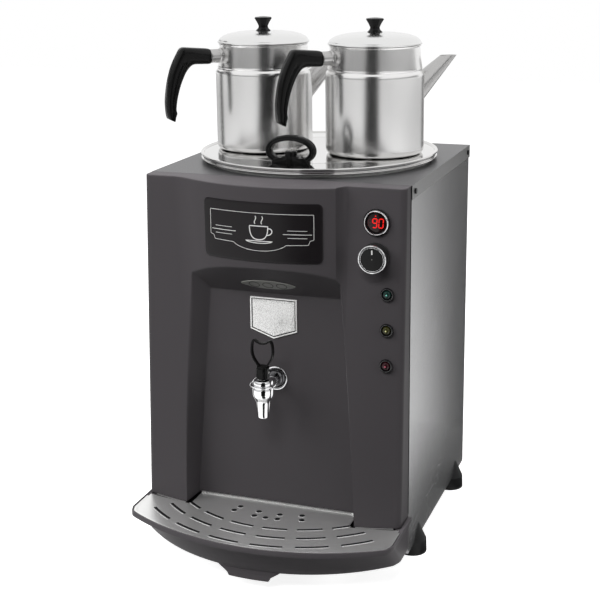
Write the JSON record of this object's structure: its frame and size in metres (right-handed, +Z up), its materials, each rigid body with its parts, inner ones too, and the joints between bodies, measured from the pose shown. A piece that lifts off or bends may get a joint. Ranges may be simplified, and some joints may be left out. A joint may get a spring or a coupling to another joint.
{
  "type": "tea urn",
  "caption": "Counter-top tea urn with a tap recess, drip tray, boiler under a lifting lid, control knob and lever tap, and teapots keeping warm on the lid.",
  "frame": {"origin": "middle of the footprint, on the floor under the feet", "axes": "+X to the right seen from the front, +Y to the back, +Z up"},
  "size_m": [0.4093, 0.531, 0.7602],
  "materials": {
    "panel_plastic": "fine moulded texture",
    "black_plastic": "satin",
    "gloss_black": "gloss",
    "casing_sheet": "satin grey",
    "inner_steel": "mill",
    "polished_steel": "polished",
    "chrome": "bright",
    "silicone": "soft",
    "insulation": "felt",
    "clear_lens": "frosted",
    "red_lens": "gloss",
    "green_lens": "gloss",
    "amber_lens": "gloss",
    "board": "satin",
    "ceramic": "matt"
  },
  "bodies": {
    "casing": {"base_plate": "inner_steel", "left_side_panel": "casing_sheet", "right_side_panel": "casing_sheet", "back_panel": "casing_sheet", "top_cover": "casing_sheet", "casing_screws": "black_plastic", "front_panel": "panel_plastic", "nameplate": "gloss_black", "shield_plate": "chrome", "display_bezel": "chrome", "display_window": "red_lens", "display_module": "black_plastic", "lamp_bezels": "black_plastic", "green_lamp": "green_lens", "amber_lamp": "amber_lens", "red_lamp": "red_lens", "recess_lamp_lens": "clear_lens", "recess_lamp_board": "board", "feet": "black_plastic", "foot_screws": "inner_steel", "boiler_tank": "polished_steel", "boiler_jacket": "insulation", "boiler_stand": "inner_steel", "heating_element": "inner_steel", "lid_gasket": "silicone", "thermostat_body": "ceramic", "thermostat_capillary": "inner_steel", "overheat_cutout": "black_plastic", "terminal_block": "ceramic", "cable_gland": "black_plastic", "tap_body": "chrome", "tap_flange": "chrome", "tap_gasket": "silicone", "tap_nut": "inner_steel", "tap_bonnet": "chrome", "tap_spring": "inner_steel"},
    "knob": {"control_knob": "black_plastic", "knob_ring": "chrome", "thermostat_spindle": "inner_steel"},
    "valve_stem": {"tap_stem": "inner_steel", "tap_seat": "silicone", "tap_pin": "inner_steel"},
    "tap_lever": {"tap_handle": "black_plastic"},
    "tray": {"drip_tray": "panel_plastic"},
    "grille": {"drip_grille": "polished_steel"},
    "lid": {"boiler_lid": "polished_steel", "lid_handle": "black_plastic", "lid_handle_screw": "inner_steel"},
    "left_pot": {"left_pot_body": "polished_steel", "left_pot_spout": "polished_steel", "left_pot_ferrule": "polished_steel", "left_pot_handle": "black_plastic"},
    "left_pot_cover": {"left_pot_lid": "polished_steel", "left_pot_knob": "black_plastic"},
    "right_pot": {"right_pot_body": "polished_steel", "right_pot_spout": "polished_steel", "right_pot_ferrule": "polished_steel", "right_pot_handle": "black_plastic"},
    "right_pot_cover": {"right_pot_lid": "polished_steel", "right_pot_knob": "black_plastic"}
  },
  "joints": [
    {"name": "valve_lift", "type": "slide", "parent": "casing", "child": "valve_stem", "axis": [0, 0, 1], "range_m": [0, 0.005], "deforming": ["tap_spring"]},
    {"name": "tap_tilt", "type": "hinge", "parent": "valve_stem", "child": "tap_lever", "pos_m": [0, -0.1705, 0.2953], "axis": [1, 0, 0], "range_deg": [0, 52], "stiffness_Nm_per_rad": 0.25},
    {"name": "knob_turn", "type": "hinge", "parent": "casing", "child": "knob", "pos_m": [0.15, -0.14, 0.461], "axis": [0, 1, 0], "range_deg": [0, 270]},
    {"name": "tray_slide", "type": "slide", "parent": "casing", "child": "tray", "axis": [0, -1, 0], "range_m": [0, 0.16]},
    {"name": "grille_lift", "type": "slide", "parent": "tray", "child": "grille", "axis": [0, 0, 1], "range_m": [0, 0.04]},
    {"name": "lid_lift", "type": "slide", "parent": "casing", "child": "lid", "axis": [0, 0, 1], "range_m": [0, 0.15]},
    {"name": "left_pot_lift", "type": "slide", "parent": "lid", "child": "left_pot", "axis": [0, 0, 1], "range_m": [0, 0.12]},
    {"name": "left_pot_cover_lift", "type": "slide", "parent": "left_pot", "child": "left_pot_cover", "axis": [0, 0, 1], "range_m": [0, 0.06]},
    {"name": "right_pot_lift", "type": "slide", "parent": "lid", "child": "right_pot", "axis": [0, 0, 1], "range_m": [0, 0.12]},
    {"name": "right_pot_cover_lift", "type": "slide", "parent": "right_pot", "child": "right_pot_cover", "axis": [0, 0, 1], "range_m": [0, 0.06]}
  ],
  "couplings": [
    {"joint": "tap_tilt", "follows": "valve_lift", "rad_per_m": 174.53}
  ]
}
